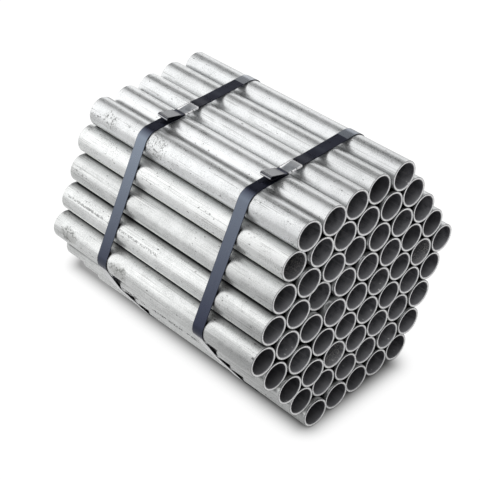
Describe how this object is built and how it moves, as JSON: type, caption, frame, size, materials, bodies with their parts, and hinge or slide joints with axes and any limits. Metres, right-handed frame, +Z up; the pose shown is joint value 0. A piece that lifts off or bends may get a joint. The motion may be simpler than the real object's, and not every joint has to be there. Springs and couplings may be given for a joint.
{
  "type": "strapped bundle of steel tubes",
  "caption": "Hexagonal bundle of open-ended galvanised steel tubes held by two steel straps with crimped seals.",
  "frame": {"origin": "middle of the underside, on the surface the bundle lies on", "axes": "+X across the bundle to the right seen from the front ends, +Y along the tubes to the back ends, +Z up"},
  "size_m": [0.4366, 0.471, 0.4018],
  "materials": {
    "galvanised_tube": "hot-dip galvanised: bright zinc with fine streaks along the tube, sawn bright ends",
    "blued_strap": "blued and waxed strapping steel, satin, blue-black",
    "zinc_seal": "zinc-plated folded sheet, dull silver with bright rubbed edges"
  },
  "bodies": {
    "root": {"tube_row_1": "galvanised_tube", "tube_row_2": "galvanised_tube", "tube_row_3": "galvanised_tube", "tube_row_4": "galvanised_tube", "tube_row_5": "galvanised_tube", "tube_row_6": "galvanised_tube", "tube_row_7": "galvanised_tube", "tube_row_8": "galvanised_tube", "tube_row_9": "galvanised_tube", "strap_front": "blued_strap", "strap_back": "blued_strap", "strap_seal_front": "zinc_seal", "strap_seal_back": "zinc_seal"}
  },
  "joints": []
}
